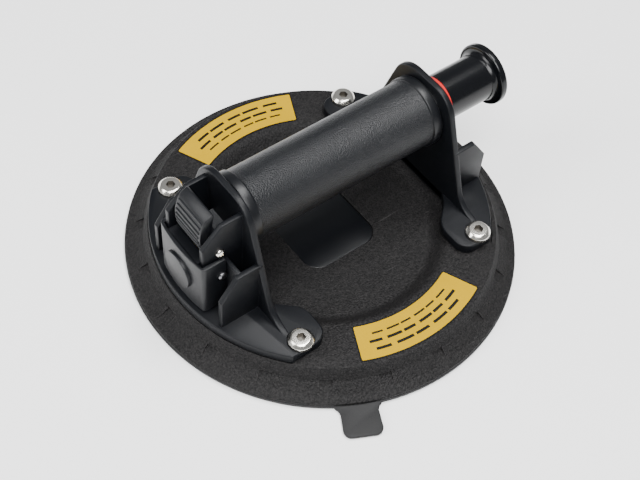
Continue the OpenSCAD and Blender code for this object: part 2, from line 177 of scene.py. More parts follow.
# Vent lever
PIVOT = Vector((-72.3, 0, 60.0))
LINK = Vector((-73.0, 0, 46.5))
PADDLE_HALF = paddle_high.y
FACE_CENTRE = (-56.2, 68.4)
FACE_R = 23.3
RIBS = 7
RIB_FIRST = 156
RIB_PITCH = 7
RIB_R = 0.55
HUB_R = 4.5
ARM_IN = 4.0
ARM_OUT = 7.6
PIVOT_R = 2.0
PIVOT_PLAY = 0.05
SHROUD_HALF = shroud_high.y
SHROUD_R = 84.9
SHROUD_REAR = -70.8
SHROUD_TOP = shroud_high.z
SHROUD_BOTTOM = shroud_low.z
SHROUD_WALL = 2.3
SHROUD_CORNER = 2.2
SHROUD_INSIDE = -82.5
SHELF_REAR = -77.2
SHELF_T = 2.4
SHELF_SUNK = 0.8
BUTTON_Z = 41.0
BUTTON_R = 9.6
BUTTON_H = 1.4
EAR_SLOT_DEPTH = 5
EAR_SLOT_GAP = 0.8

# Finishes
SMOOTH_ANGLE = 32
EDGE_WEAR_R = 0.7


# ---------- Modelling steps ----------
def fresh():
    """Object mode with nothing selected."""
    if bpy.context.object and bpy.context.object.mode != "OBJECT":
        bpy.ops.object.mode_set(mode="OBJECT")
    bpy.ops.object.select_all(action="DESELECT")


def take(obj):
    """Makes one object the selected and active one."""
    fresh()
    obj.select_set(True)
    bpy.context.view_layer.objects.active = obj


def named(name):
    """Names the new primitive and puts its place in its mesh."""
    obj = bpy.context.object
    obj.name = name
    bpy.ops.object.transform_apply(location=True, rotation=True, scale=True)
    return obj


def block(name, low, high):
    """A cube between two corners."""
    fresh()
    low, high = Vector(low) * MM, Vector(high) * MM
    bpy.ops.mesh.primitive_cube_add(size=1, location=(low + high) / 2, scale=high - low)
    return named(name)


def rod(name, start, end, radius, sides=48):
    """A cylinder between two points on one axis."""
    fresh()
    start, end = Vector(start) * MM, Vector(end) * MM
    turn = (end - start).to_track_quat("Z", "Y").to_euler()
    bpy.ops.mesh.primitive_cylinder_add(
        vertices=sides, radius=radius * MM, depth=(end - start).length,
        location=(start + end) / 2, rotation=turn)
    return named(name)


def pick(obj, kind, test):
    """Enters edit mode with only the faces, edges or points chosen by test selected."""
    take(obj)
    bpy.ops.object.mode_set(mode="EDIT")
    bpy.ops.mesh.select_mode(type=kind)
    bpy.ops.mesh.select_all(action="DESELECT")
    bpy.ops.object.mode_set(mode="OBJECT")
    mesh = obj.data
    if kind == "FACE":
        for face in mesh.polygons:
            face.select = test(face.center / MM, face.normal)
    if kind == "EDGE":
        for edge in mesh.edges:
            a, b = (mesh.vertices[i].co / MM for i in edge.vertices)
            edge.select = test(a, b)
    if kind == "VERT":
        for point in mesh.vertices:
            point.select = test(point.co / MM)
    bpy.ops.object.mode_set(mode="EDIT")


def leave():
    """Leaves edit mode."""
    bpy.ops.object.mode_set(mode="OBJECT")


def drawn(name, points):
    """A line of vertices through the points, drawn by extruding one vertex along it."""
    fresh()
    bpy.ops.mesh.primitive_plane_add(size=MM)
    obj = named(name)
    points = [Vector(p) * MM for p in points]
    bpy.ops.object.mode_set(mode="EDIT")
    bpy.ops.mesh.select_mode(type="VERT")
    bpy.ops.mesh.select_all(action="SELECT")
    bpy.ops.mesh.merge(type="CENTER")
    bpy.ops.transform.translate(value=points[0])
    for a, b in zip(points, points[1:]):
        bpy.ops.mesh.extrude_region_move(TRANSFORM_OT_translate={"value": b - a})
    return obj


def turned(name, profile, centre, axis, steps=96):
    """A drawn profile of (place along the axis, radius) spun round the axis into a closed skin."""
    centre, axis = Vector(centre), Vector(axis)
    across = Vector((1, 0, 0)) if abs(axis.z) > 0.5 else Vector((0, 0, 1))
    obj = drawn(name, [centre + axis * a + across * r for a, r in profile])
    bpy.ops.mesh.select_all(action="SELECT")
    bpy.ops.mesh.spin(steps=steps, angle=math.tau, center=centre * MM, axis=axis)
    bpy.ops.mesh.select_all(action="SELECT")
    bpy.ops.mesh.remove_doubles(threshold=0.002 * MM)
    bpy.ops.mesh.normals_make_consistent(inside=False)
    leave()
    return obj


def slab(name, outline, start, end, normal):
    """A drawn closed outline, filled and extruded from start to end along its normal axis."""
    spread = {"X": lambda a, b: (start, a, b),
              "Y": lambda a, b: (a, start, b),
              "Z": lambda a, b: (a, b, start)}
    obj = drawn(name, [spread[normal](a, b) for a, b in outline])
    bpy.ops.mesh.select_all(action="SELECT")
    bpy.ops.mesh.remove_doubles(threshold=0.01 * MM)
    bpy.ops.mesh.edge_face_add()
    push = Vector([(end - start) * MM if letter == normal else 0 for letter in "XYZ"])
    bpy.ops.mesh.select_all(action="SELECT")
    bpy.ops.mesh.extrude_region_move(TRANSFORM_OT_translate={"value": push})
    bpy.ops.mesh.select_all(action="SELECT")
    bpy.ops.mesh.normals_make_consistent(inside=False)
    leave()
    return obj


def apply_modifier(obj, kind, **settings):
    """Adds a modifier with its settings and applies it."""
    take(obj)
    made = obj.modifiers.new(kind.lower(), kind)
    for key, value in settings.items():
        setattr(made, key, value)
    bpy.ops.object.modifier_apply(modifier=made.name)


def carve(obj, tool, how="DIFFERENCE"):
    """Cuts the tool out of the piece, or joins it on, and removes the tool."""
    apply_modifier(obj, "BOOLEAN", operation=how, solver="EXACT", object=tool)
    bpy.data.objects.remove(tool)
    return obj


def weld(name, *parts):
    """One piece out of several overlapping ones."""
    first = parts[0]
    for part in parts[1:]:
        carve(first, part, "UNION")
    first.name = name
    return first


def joined(name, *parts):
    """One piece out of several closed shells that run into each other."""
    take(parts[0])
    for part in parts[1:]:
        part.select_set(True)
    bpy.ops.object.join()
    parts[0].name = name
    return parts[0]


def soften(obj, width, segments=3, angle=35):
    """Rounds every edge sharper than the angle."""
    apply_modifier(obj, "BEVEL", width=width * MM, segments=segments, limit_method="ANGLE",
                   angle_limit=math.radians(angle), use_clamp_overlap=False, miter_outer="MITER_ARC")
    return obj


def mirrored(obj, name, across):
    """A copy with its own mesh, flipped across the plane square to an axis, facing outwards."""
    take(obj)
    bpy.ops.object.duplicate()
    copy = bpy.context.object
    copy.name = name
    bpy.ops.object.mode_set(mode="EDIT")
    bpy.ops.mesh.select_all(action="SELECT")
    bpy.ops.transform.mirror(constraint_axis=[letter == across for letter in "XYZ"],
                             center_override=(0, 0, 0))
    bpy.ops.mesh.flip_normals()
    leave()
    return copy


def swung(obj, angle):
    """Turns a piece about the vertical axis, by degrees from X towards Y."""
    take(obj)
    bpy.ops.object.mode_set(mode="EDIT")
    bpy.ops.mesh.select_all(action="SELECT")
    # With no window a turn goes the other way
    bpy.ops.transform.rotate(value=-math.radians(angle), orient_axis="Z", center_override=(0, 0, 0))
    leave()


def replace_mirrored(obj):
    """The piece flipped to the -X side, in place of the first."""
    flipped = mirrored(obj, obj.name, "X")
    bpy.data.objects.remove(obj)
    return flipped


def finish_piece(obj, material, body, slot, *nodes):
    """Shading, material, the CAD nodes it stands for and the body it rides on."""
    take(obj)
    bpy.ops.object.shade_smooth_by_angle(angle=math.radians(SMOOTH_ANGLE))
    obj.data.materials.clear()
    obj.data.materials.append(material)
    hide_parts(*nodes)
    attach(obj, body)
    return obj


def arc(cx, cy, radius, start, end, steps=8):
    """Points of an arc, with angles in degrees."""
    turns = [math.radians(start + (end - start) * i / steps) for i in range(steps + 1)]
    return [(cx + radius * math.cos(t), cy + radius * math.sin(t)) for t in turns]


# ---------- Material parts ----------
def new_group(name, inputs, outputs):
    """An empty shader node group with its sockets, and its input and output nodes."""
    tree = bpy.data.node_groups.new(name, "ShaderNodeTree")
    for label, kind, value in inputs:
        socket = tree.interface.new_socket(label, in_out="INPUT", socket_type=kind)
        if value is not None:
            socket.default_value = value
    for label, kind in outputs:
        tree.interface.new_socket(label, in_out="OUTPUT", socket_type=kind)
    return tree, tree.nodes.new("NodeGroupInput"), tree.nodes.new("NodeGroupOutput")


def add(tree, kind, settings=None, **values):
    """Adds a node; a value that is a socket is linked, and any other is set. in0, in1 go by place."""
    made = tree.nodes.new(kind)
    for key, value in (settings or {}).items():
        setattr(made, key, value)
    for label, value in values.items():
        place = int(label[2:]) if label[:2] == "in" and label[2:].isdigit() else label.replace("_", " ")
        socket = made.inputs[place]
        if isinstance(value, bpy.types.NodeSocket):
            tree.links.new(value, socket)
        else:
            socket.default_value = value
    return made


def maths(tree, operation, a, b):
    """The output of one Math node."""
    return add(tree, "ShaderNodeMath", {"operation": operation}, in0=a, in1=b).outputs[0]


def ranged(tree, value, low, high, out_low=0.0, out_high=1.0):
    """A value mapped from one range to another, clamped."""
    return add(tree, "ShaderNodeMapRange", None, Value=value, From_Min=low, From_Max=high,
               To_Min=out_low, To_Max=out_high).outputs[0]


def mixed(tree, factor, a, b):
    """The output of a colour mix."""
    made = add(tree, "ShaderNodeMix", {"data_type": "RGBA"}, in0=factor, in6=a, in7=b)
    return made.outputs[2]


def build_grain():
    """Moulded surface texture: fine noise and small rounded pits."""
    tree, given, result = new_group(
        "moulded grain",
        [("Coordinates", "NodeSocketVector", None), ("Scale", "NodeSocketFloat", 1500.0),
         ("Pits", "NodeSocketFloat", 0.5)],
        [("Height", "NodeSocketFloat"), ("Speckle", "NodeSocketFloat")])
    fine = add(tree, "ShaderNodeTexNoise", None, Vector=given.outputs["Coordinates"],
               Scale=given.outputs["Scale"], Detail=3.0, Roughness=0.6)
    pits = add(tree, "ShaderNodeTexVoronoi", {"feature": "SMOOTH_F1"}, Vector=given.outputs["Coordinates"],
               Scale=given.outputs["Scale"], Smoothness=0.4)
    dip = maths(tree, "MULTIPLY", ranged(tree, pits.outputs["Distance"], 0.1, 0.75), given.outputs["Pits"])
    height = maths(tree, "SUBTRACT", fine.outputs["Fac"], dip)
    tree.links.new(height, result.inputs["Height"])
    tree.links.new(ranged(tree, fine.outputs["Fac"], 0.35, 0.68), result.inputs["Speckle"])
    return tree


def build_handling():
    """Marks of use: broad clouds, sparse fine scratches and specks of dust."""
    tree, given, result = new_group(
        "marks of use",
        [("Coordinates", "NodeSocketVector", None), ("Cloud Scale", "NodeSocketFloat", 25.0)],
        [("Cloud", "NodeSocketFloat"), ("Scratch", "NodeSocketFloat"), ("Dust", "NodeSocketFloat")])
    cloud = add(tree, "ShaderNodeTexNoise", None, Vector=given.outputs["Coordinates"],
                Scale=given.outputs["Cloud Scale"], Detail=4.0, Roughness=0.55)
    stretched = add(tree, "ShaderNodeMapping", None, Vector=given.outputs["Coordinates"],
                    Rotation=(0.4, 0.7, 0.5), Scale=(40.0, 900.0, 900.0))
    lines = add(tree, "ShaderNodeTexNoise", None, Vector=stretched.outputs[0], Scale=1.0, Detail=1.0)
    sparse = ranged(tree, cloud.outputs["Fac"], 0.5, 0.62)
    scratch = maths(tree, "MULTIPLY", ranged(tree, lines.outputs["Fac"], 0.70, 0.76), sparse)
    specks = add(tree, "ShaderNodeTexVoronoi", None, Vector=given.outputs["Coordinates"], Scale=420.0)
    dust = ranged(tree, specks.outputs["Distance"], 0.12, 0.05)
    tree.links.new(ranged(tree, cloud.outputs["Fac"], 0.3, 0.7), result.inputs["Cloud"])
    tree.links.new(scratch, result.inputs["Scratch"])
    tree.links.new(maths(tree, "MULTIPLY", dust, sparse), result.inputs["Dust"])
    return tree


def build_edge_wear():
    """A mask along rounded edges, broken up by noise, where the surface is rubbed lighter."""
    tree, given, result = new_group(
        "edge wear", [("Coordinates", "NodeSocketVector", None)], [("Mask", "NodeSocketFloat")])
    rounded = add(tree, "ShaderNodeBevel", {"samples": 6}, Radius=EDGE_WEAR_R * MM).outputs["Normal"]
    facing = add(tree, "ShaderNodeNewGeometry").outputs["Normal"]
    same = add(tree, "ShaderNodeVectorMath", {"operation": "DOT_PRODUCT"}, in0=rounded, in1=facing)
    broken = add(tree, "ShaderNodeTexNoise", None, Vector=given.outputs["Coordinates"],
                 Scale=180.0, Detail=3.0)
    edge = ranged(tree, same.outputs["Value"], 0.995, 0.9)
    tree.links.new(maths(tree, "MULTIPLY", edge, ranged(tree, broken.outputs["Fac"], 0.3, 0.6)),
                   result.inputs["Mask"])
    return tree


GRAIN = build_grain()
HANDLING = build_handling()
EDGE_WEAR = build_edge_wear()


def grouped(tree, group, **values):
    """Places a node group in a material."""
    made = add(tree, "ShaderNodeGroup", {"node_tree": group})
    for label, value in values.items():
        socket = made.inputs[label.replace("_", " ")]
        if isinstance(value, bpy.types.NodeSocket):
            tree.links.new(value, socket)
        else:
            socket.default_value = value
    return made


def blank(name):
    """A material with its shader, its tree and its Object coordinates."""
    material = bpy.data.materials.new(name)
    material.use_nodes = True
    tree = material.node_tree
    return material, tree, tree.nodes["Principled BSDF"], add(tree, "ShaderNodeTexCoord").outputs["Object"]


def bump(tree, shader, height, distance, strength=1.0):
    """Height, a distance in millimetres and a strength, to the shader's normal."""
    made = add(tree, "ShaderNodeBump", None, Height=height, Distance=distance * MM, Strength=strength)
    tree.links.new(made.outputs[0], shader.inputs["Normal"])


def moulded(name, dark, light, rough, scale, depth, pits=0.5, specular=0.3, worn=0.25):
    """Moulded plastic or rubber: grained, a little cloudy, rubbed at its edges, with a few scratches."""
    material, tree, shader, where = blank(name)
    grain = grouped(tree, GRAIN, Coordinates=where, Scale=scale, Pits=pits)
    marks = grouped(tree, HANDLING, Coordinates=where)
    wear = grouped(tree, EDGE_WEAR, Coordinates=where)
    colour = mixed(tree, maths(tree, "MULTIPLY", grain.outputs["Speckle"], 0.7), (*dark, 1), (*light, 1))
    pale = tuple(min(1.0, c * 2.2 + 0.015) for c in light)
    rubbed = maths(tree, "MULTIPLY", wear.outputs["Mask"], worn)
    colour = mixed(tree, rubbed, colour, (*pale, 1))
    marked = maths(tree, "MULTIPLY", marks.outputs["Scratch"], 0.35)
    colour = mixed(tree, maths(tree, "ADD", marked, maths(tree, "MULTIPLY", marks.outputs["Dust"], 0.3)),
                   colour, (*pale, 1))
    tree.links.new(colour, shader.inputs["Base Color"])
    gloss = maths(tree, "SUBTRACT", ranged(tree, marks.outputs["Cloud"], 0, 1, rough - 0.05, rough + 0.06),
                  maths(tree, "MULTIPLY", rubbed, 0.12))
    tree.links.new(gloss, shader.inputs["Roughness"])
    shader.inputs["Specular IOR Level"].default_value = specular
    bump(tree, shader, grain.outputs["Height"], depth)
    return material


def metal(name, colour, rough, scale=900.0, depth=0.01):
    """Metal with a fine surface, faint clouds and small marks."""
    material, tree, shader, where = blank(name)
    grain = grouped(tree, GRAIN, Coordinates=where, Scale=scale, Pits=0.2)
    marks = grouped(tree, HANDLING, Coordinates=where, Cloud_Scale=120.0)
    dull = tuple(c * 0.72 for c in colour)
    shade = mixed(tree, maths(tree, "MULTIPLY", marks.outputs["Cloud"], 0.5), (*colour, 1), (*dull, 1))
    tree.links.new(shade, shader.inputs["Base Color"])
    gloss = ranged(tree, marks.outputs["Cloud"], 0, 1, rough, rough + 0.12)
    tree.links.new(gloss, shader.inputs["Roughness"])
    shader.inputs["Metallic"].default_value = 1.0
    bump(tree, shader, grain.outputs["Height"], depth)
    return material


def printed(name, colour, rough, specular):
    """Printed film: even colour with faint mottling under a thin clear face."""
    material, tree, shader, where = blank(name)
    grain = grouped(tree, GRAIN, Coordinates=where, Scale=1200.0, Pits=0.1)
    marks = grouped(tree, HANDLING, Coordinates=where, Cloud_Scale=60.0)
    aged = tuple(c * 0.86 for c in colour)
    shade = mixed(tree, maths(tree, "MULTIPLY", marks.outputs["Cloud"], 0.5), (*colour, 1), (*aged, 1))
    tree.links.new(shade, shader.inputs["Base Color"])
    gloss = ranged(tree, marks.outputs["Cloud"], 0, 1, rough, rough + 0.1)
    tree.links.new(gloss, shader.inputs["Roughness"])
    shader.inputs["Specular IOR Level"].default_value = specular
    bump(tree, shader, grain.outputs["Height"], 0.01)
    return material


BASE_PLASTIC = moulded("rough base plastic", (0.0020, 0.0020, 0.0022), (0.024, 0.0225, 0.0225),
                       0.62, 1100.0, 0.30, pits=0.8, specular=0.16)
BRACKET_PLASTIC = moulded("satin bracket plastic", (0.0022, 0.0026, 0.0036), (0.0036, 0.0043, 0.006),
                          0.42, 2600.0, 0.02, specular=0.2)
GRIP_PLASTIC = moulded("spark-eroded grip plastic", (0.0026, 0.0030, 0.0040), (0.0060, 0.0068, 0.0085),
                       0.38, 1500.0, 0.22, pits=0.6, specular=0.35, worn=0.1)
COLLAR_PLASTIC = moulded("smooth collar plastic", (0.0026, 0.0030, 0.0040), (0.0040, 0.0046, 0.006),
                         0.36, 2400.0, 0.02)
PLUNGER_PLASTIC = moulded("semi-gloss plunger plastic", (0.0020, 0.0023, 0.0030), (0.0028, 0.0032, 0.004),
                          0.2, 2600.0, 0.008)
LEVER_PLASTIC = moulded("satin lever plastic", (0.0030, 0.0034, 0.0045), (0.0048, 0.0055, 0.0072),
                        0.4, 2600.0, 0.025)
BADGE_PLASTIC = moulded("smooth badge plastic", (0.0022, 0.0026, 0.0036), (0.0030, 0.0036, 0.005),
                        0.32, 2600.0, 0.012)
PAD_RUBBER = moulded("matt pad rubber", (0.0030, 0.0030, 0.0034), (0.005, 0.005, 0.0055),
                     0.6, 1400.0, 0.05, specular=0.35)
SEAL_RUBBER = moulded("nitrile rubber", (0.008, 0.008, 0.008), (0.014, 0.014, 0.014), 0.5, 1800.0, 0.02)
VALVE_RUBBER = moulded("silicone rubber", (0.4, 0.06, 0.04), (0.5, 0.09, 0.06), 0.45, 1800.0, 0.02)
INNER_PLASTIC = moulded("glass-filled nylon", (0.04, 0.042, 0.045), (0.07, 0.072, 0.076), 0.5, 1600.0, 0.05)
BUSH_PLASTIC = moulded("natural acetal", (0.68, 0.67, 0.62), (0.76, 0.75, 0.70), 0.35, 1500.0, 0.015)
FILTER_FELT = moulded("pressed felt", (0.45, 0.44, 0.41), (0.62, 0.61, 0.58), 0.85, 700.0, 0.4, pits=0.9)
RED_PLASTIC = moulded("red ring plastic", (0.5, 0.012, 0.010), (0.62, 0.02, 0.015), 0.35, 1800.0, 0.01)
NICKEL = metal("bright nickel plate", (0.86, 0.83, 0.76), 0.14)
# Painted shade: a darker steel for the inside of the hex sockets, in place of the shade deep in the recess
SOCKET_PAINTED_SHADE = metal("socket painted shade", (0.15, 0.14, 0.125), 0.35)
DARK_STEEL = metal("oiled steel", (0.22, 0.22, 0.23), 0.3)
SPRING_STEEL = metal("drawn spring wire", (0.55, 0.55, 0.57), 0.28)
BRASS = metal("turned brass", (0.72, 0.53, 0.22), 0.25)
ALUMINIUM = metal("drawn aluminium tube", (0.66, 0.67, 0.69), 0.3)
LABEL_YELLOW = printed("yellow label film", (0.40, 0.245, 0.0), 0.7, 0.03)
LABEL_BLACK = printed("black label print", (0.004, 0.004, 0.004), 0.5, 0.1)


# ---------- Base and pad ----------
def base_moulding():
    """The dished disc: dish, raised ring, steep wall, notched slope and thin rim."""
    rise = [(DISH_R + (RING_INNER_R - DISH_R) * i / 10,
             DISH_TOP + (RING_TOP - DISH_TOP) * (1 - math.cos(math.pi * i / 10)) / 2) for i in range(11)]
    outer = [(RING_R, RING_TOP), WALL_FOOT, SLOPE_FOOT, (RIM_R, RIM_TOP), (RIM_R, RIM_BOTTOM)]
    under = [(LIP_IN + 2, RIM_BOTTOM), (LIP_IN + 2, 6.0), (RING_UNDER_OUT, RING_UNDERSIDE),
             (RING_UNDER_IN, RING_UNDERSIDE), (MIDDLE_UNDER_R, MIDDLE_UNDERSIDE), (0.0, MIDDLE_UNDERSIDE)]
    section = [(0.0, DISH_TOP), (DISH_FLAT_R, DISH_TOP)] + rise + outer + under
    base = turned("base_moulding", [(z, r) for r, z in section], (0, 0, 0), (0, 0, 1), steps=180)

    def in_notch(middle, normal):
        """Faces of the slope that lie within one of the evenly spaced notches."""
        radius = math.hypot(middle.x, middle.y)
        angle = math.degrees(math.atan2(middle.y, middle.x)) + 90
        pitch = 360 / NOTCHES
        off = (angle + pitch / 2) % pitch - pitch / 2
        on_slope = WALL_FOOT[0] - 0.4 < radius < SLOPE_FOOT[0] and normal.z > 0.25
        return on_slope and abs(off) < NOTCH_HALF_ANGLE

    def notch_foot(spot):
        """Points at a notch's outer end, which are raised so that its floor runs out to nothing."""
        near = NOTCH_FOOT_R[0] < math.hypot(spot.x, spot.y) < NOTCH_FOOT_R[1]
        return near and NOTCH_FOOT_Z[0] < spot.z < NOTCH_FOOT_Z[1]

    soften(base, 0.45, segments=3, angle=24)
    pick(base, "FACE", in_notch)
    bpy.ops.mesh.extrude_region_shrink_fatten(TRANSFORM_OT_shrink_fatten={"value": -NOTCH_DEPTH * MM})
    leave()
    pick(base, "VERT", notch_foot)
    bpy.ops.transform.translate(value=(0, 0, NOTCH_RISE * MM))
    leave()
    for side, radius in ((-1, RELEASE_FOOT_R), (1, PLUNGER_FOOT_R)):
        moat = slab("moat", moat_outline(radius), RING_TOP - MOAT_DEPTH, RING_TOP + 1, "Z")
        if side < 0:
            moat = replace_mirrored(moat)
        carve(base, moat)
    recess = badge_shape("badge_recess", BADGE_SIDE + 0.5, badge_low.z, DISH_TOP + 5)
    carve(base, recess)
    return finish_piece(base, BASE_PLASTIC, "body", "base_plastic", "base_plate")


def moat_outline(radius):
    """The thin gap round a foot's outer edge, in X and Y on the +X side."""
    outer = min(radius + MOAT, RING_R - 0.6)
    reach = math.degrees(math.asin(FOOT_END / radius))
    return arc(0, 0, outer, -reach, reach, 48) + arc(0, 0, radius - 1, reach, -reach, 48)


def badge_shape(name, side, low, high):
    """A block with rounded corners."""
    half = side / 2
    shape = block(name, (-half, -half, low), (half, half, high))
    pick(shape, "EDGE", lambda a, b: abs(a.z - b.z) > 0.1)
    bpy.ops.mesh.bevel(offset=BADGE_CORNER * MM, segments=12, affect="EDGES")
    leave()
    return shape


def badge():
    """The smooth plate let into the dish, its edge softly rounded."""
    plate = badge_shape("badge", BADGE_SIDE - 0.2, badge_low.z, badge_high.z)
    soften(plate, 0.4)
    return finish_piece(plate, BADGE_PLASTIC, "body", "badge_plastic", "badge_plate")


def pad():
    """The rubber pad: a lip with two sealing grooves below, a membrane and a pull tab."""
    grooves = [(0.0, LIP_IN + 4), (0.5, LIP_IN + 4.4), (0.5, LIP_IN + 5.6), (0.0, LIP_IN + 6)]
    more = [(z, r + 4) for z, r in grooves]
    profile = [(MEMBRANE_LOW, 0.0), (MEMBRANE_HIGH, 0.0), (MEMBRANE_HIGH, LIP_IN + 1.8),
               (LIP_T, LIP_IN + 1.8), (LIP_T, PAD_R), (0.6, PAD_R), (0.0, PAD_R - 0.6)]
    profile += more[::-1] + grooves[::-1]
    profile += [(0.0, LIP_IN), (MEMBRANE_LOW, LIP_IN - 1), (MEMBRANE_LOW, 0.0)]
    disc = turned("rubber_pad_moulding", profile, (0, 0, 0), (0, 0, 1), steps=180)
    soften(disc, 0.2, segments=2, angle=40)
    root = [(PAD_R - 3, TAB_HALF + 3.5), (PAD_R, TAB_HALF + 2), (PAD_R + 1, TAB_HALF + 1),
            (PAD_R + 2.2, TAB_HALF + 0.3), (PAD_R + 3.5, TAB_HALF)]
    tip_x, tip_y = TAB_REACH - TAB_CORNER, TAB_TIP_HALF - TAB_CORNER
    outline = [(x, -y) for x, y in root] + arc(tip_x, -tip_y, TAB_CORNER, -90, 0)
    outline += arc(tip_x, tip_y, TAB_CORNER, 0, 90) + root[::-1]
    tab = slab("tab", outline, 0.02, LIP_T - 0.02, "Z")
    soften(tab, 0.5)
    swung(tab, TAB_ANGLE)
    weld("rubber_pad_moulding", disc, tab)
    return finish_piece(disc, PAD_RUBBER, "body", "pad_rubber", "rubber_pad")


# ---------- Labels ----------
def label_outline(grow=0.0):
    """A curved label's outline on the +Y side, with rounded corners; grow below 0 shrinks it."""
    r = LABEL_CORNER + grow
    inner, outer, half = LABEL_IN - grow, LABEL_OUT + grow, math.radians(LABEL_HALF_ANGLE)
    half += grow / LABEL_OUT
    spots = []
    for radius, side in ((outer - r, 1), (inner + r, 1), (inner + r, -1), (outer - r, -1)):
        turn = math.pi / 2 + side * (half - math.asin(r / radius))
        spots.append((radius * math.cos(turn), radius * math.sin(turn)))
    h = math.degrees(half)
    outline = arc(0, 0, outer, 90 - h + 1.2, 90 + h - 1.2, 24) + arc(*spots[0], r, 90 + h, 180 + h, 6)
    outline += arc(*spots[1], r, 180 + h, 270 + h, 6)[1:] + arc(0, 0, inner, 90 + h - 1.4, 90 - h + 1.4, 20)
    return outline + arc(*spots[2], r, 270 - h, 360 - h, 6) + arc(*spots[3], r, -h, 90 - h, 6)[1:-1]


def label(name, node, side):
    """Yellow film with a black border and rows of plain bars in place of lettering."""
    film = slab(name, label_outline(), RING_TOP, LABEL_TOP - 0.03, "Z")
    yellow = slab(name + "_face", label_outline(-LABEL_BORDER), LABEL_TOP - 0.06, LABEL_TOP - 0.01, "Z")
    bars = []
    for radius, height, half, count in LABEL_ROWS:
        step = 2 * half / count
        for i in range(count):
            start = 90 - half + step * i
            end = start + step * (0.86 if i % 2 else 0.72)
            shape = arc(0, 0, radius + height / 2, start, end, 6)
            shape += arc(0, 0, radius - height / 2, end, start, 6)
            bars.append(slab(name + "_bar", shape, LABEL_TOP - 0.05, LABEL_TOP, "Z"))
    marks = joined(name + "_bars", *bars)
    for part, material, title in ((film, LABEL_BLACK, "border"), (yellow, LABEL_YELLOW, "face"),
                                  (marks, LABEL_BLACK, "bars")):
        if side < 0:
            swung(part, 180)
        part.name = name + "_" + title
        finish_piece(part, material, "body", "label_film", node)


# ---------- Brackets ----------
def upright_outline():
    """The upright in Y and Z: rounded top corners, sloping flanks and flared roots."""
    lean = math.degrees(math.atan(FLANK_SLOPE))
    reach = math.tan(math.radians((90 - lean) / 2))
    foot_half = TOP_HALF + FLANK_SLOPE * (PLATE_TOP - FOOT_TOP)
    flare_y = foot_half + FLARE * reach
    half = arc(TOP_HALF - TOP_CORNER * reach, PLATE_TOP - TOP_CORNER, TOP_CORNER, 90, lean, 10)
    half += arc(flare_y, FOOT_TOP + FLARE, FLARE, 180 + lean, 270, 14)
    half += [(flare_y, RING_TOP + 1)]
    return half + [(-y, z) for y, z in reversed(half)]


def foot_outline(radius):
    """The foot in X and Y on the +X side: two rounded lobes joined along the upright."""
    corner_angle = math.degrees(math.asin(FOOT_END / radius))
    far = arc(0, 0, radius, -corner_angle, corner_angle, 40)
    lobe = [(PLATE_IN, 26), (53, 31)] + arc(FOOT_IN + FOOT_WAIST, FOOT_WAIST_Y, FOOT_WAIST, 225, 180, 6)
    lobe += arc(FOOT_IN + FOOT_CORNER, FOOT_END - FOOT_CORNER, FOOT_CORNER, 180, 90, 8)
    return far + lobe[::-1] + [(x, -y) for x, y in lobe]


def bracket_shell(name, radius, gusset_x, foot_tools=(), upright_tools=()):
    """Foot, upright and two gussets on the +X side, each rounded and cut before they are joined."""
    foot = slab("foot", foot_outline(radius), RING_TOP, FOOT_TOP, "Z")
    soften(foot, 0.7)
    upright = slab("upright", upright_outline(), PLATE_IN, PLATE_OUT, "X")
    soften(upright, 0.8, segments=4)
    for side in (-1, 1):
        spot = (SCREW_OFFSET, side * SCREW_OFFSET)
        for part in (foot, upright):
            seat = rod("screw_seat", (*spot, FOOT_TOP - SEAT_SUNK), (*spot, FOOT_TOP + 9),
                       SCREW_HEAD_R + 0.55, 64)
            carve(part, seat)
        carve(foot, rod("screw_hole", (*spot, RING_TOP - 1), (*spot, FOOT_TOP + 1), SCREW_HOLE_R))
    for tool in foot_tools:
        carve(foot, tool)
    for tool in upright_tools:
        carve(upright, tool)
    root = PLATE_IN + 1
    shape = [(root, FOOT_TOP - 1), (root, GUSSET_TOP), (gusset_x - GUSSET_RUN, GUSSET_TOP),
             (gusset_x, GUSSET_KNEE), (gusset_x, FOOT_TOP - 1)]
    right = slab("gusset", shape, GUSSET_IN, GUSSET_IN + GUSSET_T, "Y")
    soften(right, 0.5)
    left = mirrored(right, "gusset_left", "Y")
    return joined(name, foot, upright, right, left)


def plunger_bracket():
    """The bracket at the plunger's end, with the plunger's hole."""
    bore = rod("bore", (PLATE_IN - 2, 0, GRIP_Z), (PLATE_OUT + 1, 0, GRIP_Z), PLUNGER_R + 0.45, 96)
    seat = rod("seat", (PLATE_IN - 1, 0, GRIP_Z), (PLATE_IN + 1.5, 0, GRIP_Z), BARREL_R, 96)
    shell = bracket_shell("plunger_bracket_moulding", PLUNGER_FOOT_R, PLUNGER_GUSSET_X, (), (bore, seat))
    return finish_piece(shell, BRACKET_PLASTIC, "body", "bracket_plastic", "plunger_bracket")


def ear():
    """One of the two plates that carry the lever's pivot, on the +Y side."""
    root = -PLATE_OUT + 1
    shape = [(root, FOOT_TOP - 1), (root, EAR_TOP), (-EAR_KNEE_X, EAR_TOP),
             (-EAR_FRONT_X, EAR_KNEE_Z), (-EAR_FRONT_X, FOOT_TOP - 1)]
    plate = slab("ear", shape, EAR_IN, EAR_IN + EAR_T, "Y")
    soften(plate, 0.45)
    inside, outside = EAR_IN - 1, EAR_IN + EAR_T + 1
    hole_r = PIVOT_R + PIVOT_PLAY
    carve(plate, rod("pivot_hole", (PIVOT.x, inside, PIVOT.z), (PIVOT.x, outside, PIVOT.z), hole_r))
    return carve(plate, block("link_slot", (LINK.x - 5.5, inside, LINK.z - 3),
                              (LINK.x + 2.5, outside, LINK.z + 3)))


